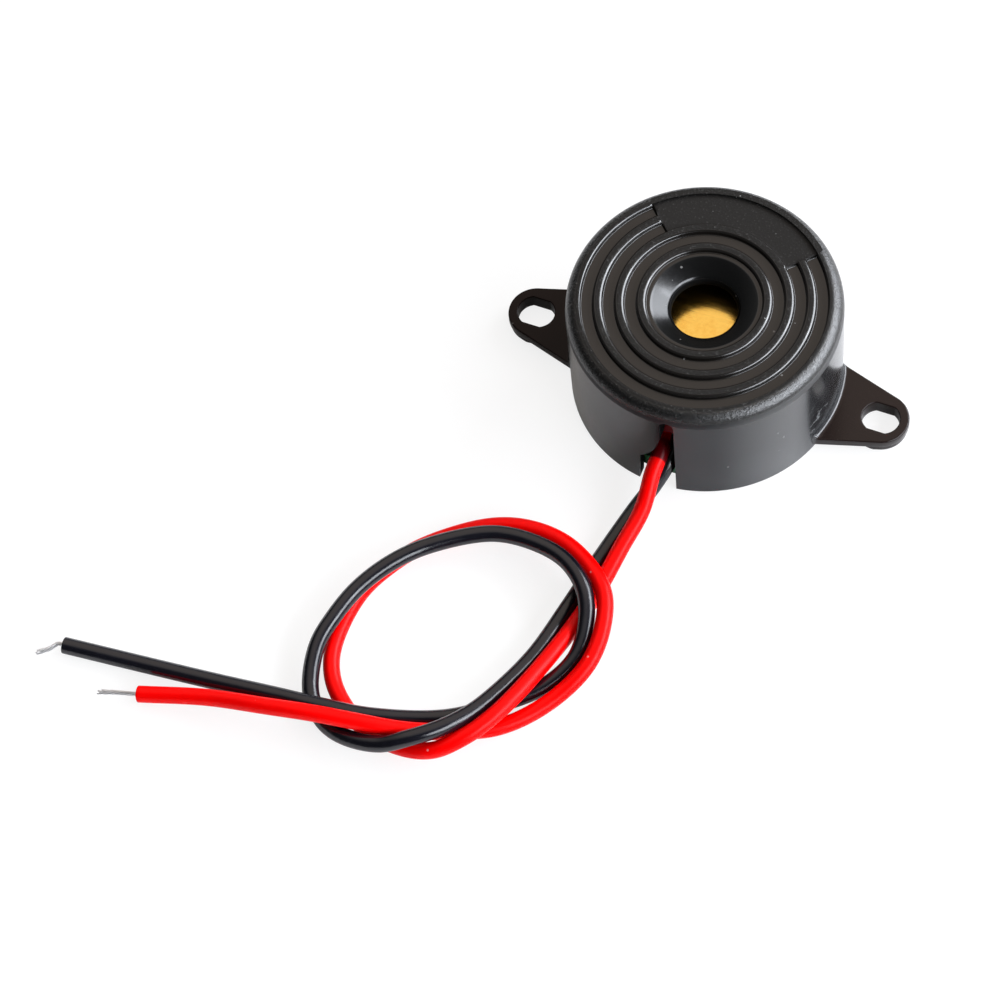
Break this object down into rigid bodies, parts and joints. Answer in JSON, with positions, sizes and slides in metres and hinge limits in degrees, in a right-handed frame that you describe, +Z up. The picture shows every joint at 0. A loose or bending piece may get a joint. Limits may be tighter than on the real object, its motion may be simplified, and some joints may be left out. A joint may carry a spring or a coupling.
{
  "type": "piezo buzzer",
  "caption": "Round piezo buzzer with ring grooves round a central sound hole, mounting ears and a pair of loosely knotted free leads.",
  "frame": {"origin": "middle of the round case, on its base", "axes": "+Z up through the sound hole, X along the two ears, -Y out of the lead slot"},
  "size_m": [0.0607, 0.057, 0.012],
  "materials": {
    "case_black": "satin wall and grooves, fine grain on the lands",
    "brass": "bright rolled",
    "ceramic": "silvered matte",
    "silicone": "cured bead",
    "board_green": "solder mask",
    "ferrite": "sintered",
    "copper": "enamelled",
    "tinned": "tinned",
    "solder": "bright solder",
    "epoxy": "moulded",
    "wire_black": "insulation",
    "wire_red": "insulation",
    "wire_yellow": "insulation",
    "lead_red": "glossy insulation",
    "lead_black": "glossy insulation"
  },
  "bodies": {
    "root": {"housing": "case_black", "sounder_plate": "brass", "ceramic_disc": "ceramic", "adhesive_ring": "silicone", "circuit_board": "board_green", "choke_core": "ferrite", "choke_winding": "copper", "choke_pins": "tinned", "transistor_body": "epoxy", "transistor_legs": "tinned", "resistor_bodies": "epoxy", "resistor_ends": "tinned", "plate_link": "wire_black", "electrode_link": "wire_red", "feedback_link": "wire_yellow", "sounder_solder": "solder", "board_solder": "solder", "lead_tails": "tinned", "red_lead": "lead_red", "black_lead": "lead_black", "red_lead_tip": "tinned", "black_lead_tip": "tinned"}
  },
  "joints": []
}
